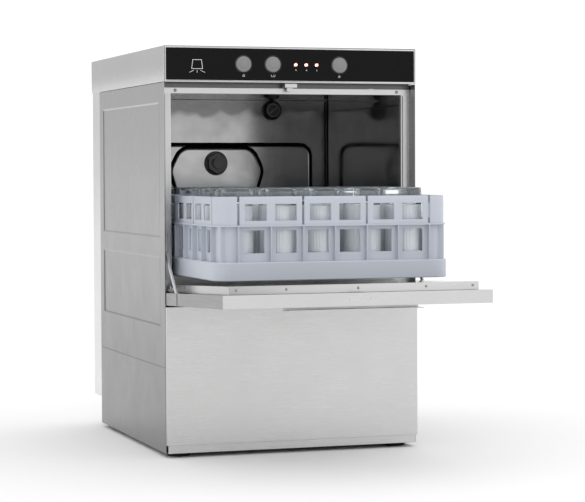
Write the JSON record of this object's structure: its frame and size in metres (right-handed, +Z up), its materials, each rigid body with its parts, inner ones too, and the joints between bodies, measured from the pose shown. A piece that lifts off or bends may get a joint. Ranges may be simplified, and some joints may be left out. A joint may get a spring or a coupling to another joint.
{
  "type": "commercial dishwasher",
  "caption": "Undercounter front-loading glasswasher in stainless steel, drop-down door open, with a plastic glass rack drawn out over the door.",
  "frame": {"origin": "on the floor, at the middle of the footprint of the machine with its door open and its rack out", "axes": "+X to the right seen from in front, +Y to the back, +Z up; the door and controls face -Y"},
  "size_m": [0.45, 0.8688, 0.69],
  "materials": {
    "brushed_steel": "satin brushed stainless sheet",
    "polished_steel": "bright polished stainless sheet",
    "black_panel": "smooth black control film",
    "black_rubber": "matt moulded rubber",
    "hose_rubber": "smooth hose rubber",
    "grey_plastic": "fine moulded grain",
    "rack_plastic": "pale blue-white polypropylene",
    "lamp_red": "small clear red lens",
    "motor_paint": "dark stoved paint",
    "brass": "machined brass",
    "valve_plastic": "moulded blue plastic",
    "clear_glass": "pressed drinking glass"
  },
  "bodies": {
    "cabinet": {"arm_post": "polished_steel", "base_tray": "brushed_steel", "blanking_nut": "grey_plastic", "boiler": "polished_steel", "cable_gland": "black_panel", "chamber_roof": "polished_steel", "control_board": "grey_plastic", "control_fascia": "brushed_steel", "door_catch": "brushed_steel", "door_jamb_left": "brushed_steel", "door_jamb_right": "brushed_steel", "drain_hose": "hose_rubber", "drain_outlet": "grey_plastic", "fascia_plate": "black_panel", "foot_front_left": "black_rubber", "foot_front_right": "black_rubber", "foot_rear_left": "black_rubber", "foot_rear_right": "black_rubber", "front_frame": "brushed_steel", "front_panel": "brushed_steel", "inlet_valve": "valve_plastic", "lamp_left": "lamp_red", "lamp_middle": "lamp_red", "lamp_right": "lamp_red", "plinth": "brushed_steel", "rack_rail_left": "polished_steel", "rack_rail_right": "polished_steel", "rear_cover": "brushed_steel", "rear_wall": "polished_steel", "rinse_dispenser": "grey_plastic", "side_panel_left": "brushed_steel", "side_panel_right": "brushed_steel", "stay_housing_left": "brushed_steel", "stay_housing_right": "brushed_steel", "suction_hose": "hose_rubber", "surface_filter": "polished_steel", "tank_heater": "polished_steel", "terminal_box": "grey_plastic", "top_cover": "brushed_steel", "vent_cap": "black_panel", "wash_hose": "hose_rubber", "wash_pump_housing": "grey_plastic", "wash_pump_motor": "motor_paint", "wash_tank": "polished_steel", "water_inlet": "brass"},
    "door": {"door_panel": "brushed_steel", "door_liner": "polished_steel", "door_handle": "brushed_steel", "door_hinge_left": "brushed_steel", "door_hinge_right": "brushed_steel"},
    "hinge_rod": {"hinge_rod": "brushed_steel"},
    "rack": {"rack": "rack_plastic"},
    "stay_left": {"stay_left": "brushed_steel"},
    "stay_right": {"stay_right": "brushed_steel"},
    "wash_arm": {"wash_arm": "polished_steel"},
    "rinse_arm": {"rinse_arm": "polished_steel"},
    "overflow_pipe": {"overflow_pipe": "grey_plastic"},
    "button_power": {"button_power": "grey_plastic"},
    "button_cycle": {"button_cycle": "grey_plastic"},
    "button_start": {"button_start": "grey_plastic"}
  },
  "joints": [
    {"name": "door_hinge", "type": "hinge", "parent": "cabinet", "child": "door", "pos_m": [0, -0.09265, 0.28], "axis": [-1, 0, 0], "range_deg": [0, 87.65]},
    {"name": "rack_carry", "type": "hinge", "parent": "cabinet", "child": "hinge_rod", "pos_m": [0, -0.09265, 0.28], "axis": [-1, 0, 0], "range_deg": [0, 180]},
    {"name": "rack_level", "type": "hinge", "parent": "hinge_rod", "child": "rack", "pos_m": [0, -0.21765, 0.28], "axis": [-1, 0, 0], "range_deg": [-180, 0]},
    {"name": "stay_left_swing", "type": "hinge", "parent": "door", "child": "stay_left", "pos_m": [-0.22045, -0.16018, 0.27576], "axis": [-1, 0, 0], "range_deg": [-53.65, 0]},
    {"name": "stay_right_swing", "type": "hinge", "parent": "door", "child": "stay_right", "pos_m": [0.22045, -0.16018, 0.27576], "axis": [-1, 0, 0], "range_deg": [-53.65, 0]},
    {"name": "wash_arm_spin", "type": "hinge", "parent": "cabinet", "child": "wash_arm", "pos_m": [0, 0.14335, 0.266], "axis": [0, 0, 1], "continuous": true},
    {"name": "rinse_arm_spin", "type": "hinge", "parent": "cabinet", "child": "rinse_arm", "pos_m": [0, 0.14335, 0.288], "axis": [0, 0, 1], "continuous": true},
    {"name": "overflow_lift", "type": "slide", "parent": "cabinet", "child": "overflow_pipe", "axis": [0, 0, 1], "range_m": [0, 0.04]},
    {"name": "power_press", "type": "slide", "parent": "cabinet", "child": "button_power", "axis": [0, 1, 0], "range_m": [0, 0.003], "stiffness_N_per_m": 400, "springref_m": -0.001},
    {"name": "cycle_press", "type": "slide", "parent": "cabinet", "child": "button_cycle", "axis": [0, 1, 0], "range_m": [0, 0.003], "stiffness_N_per_m": 400, "springref_m": -0.001},
    {"name": "start_press", "type": "slide", "parent": "cabinet", "child": "button_start", "axis": [0, 1, 0], "range_m": [0, 0.003], "stiffness_N_per_m": 400, "springref_m": -0.001}
  ],
  "couplings": [
    {"joint": "rack_carry", "follows": "door_hinge", "ratio": 2.0536},
    {"joint": "rack_level", "follows": "door_hinge", "ratio": -2.0536},
    {"joint": "stay_left_swing", "follows": "door_hinge", "ratio": -0.61195},
    {"joint": "stay_right_swing", "follows": "door_hinge", "ratio": -0.61195}
  ]
}
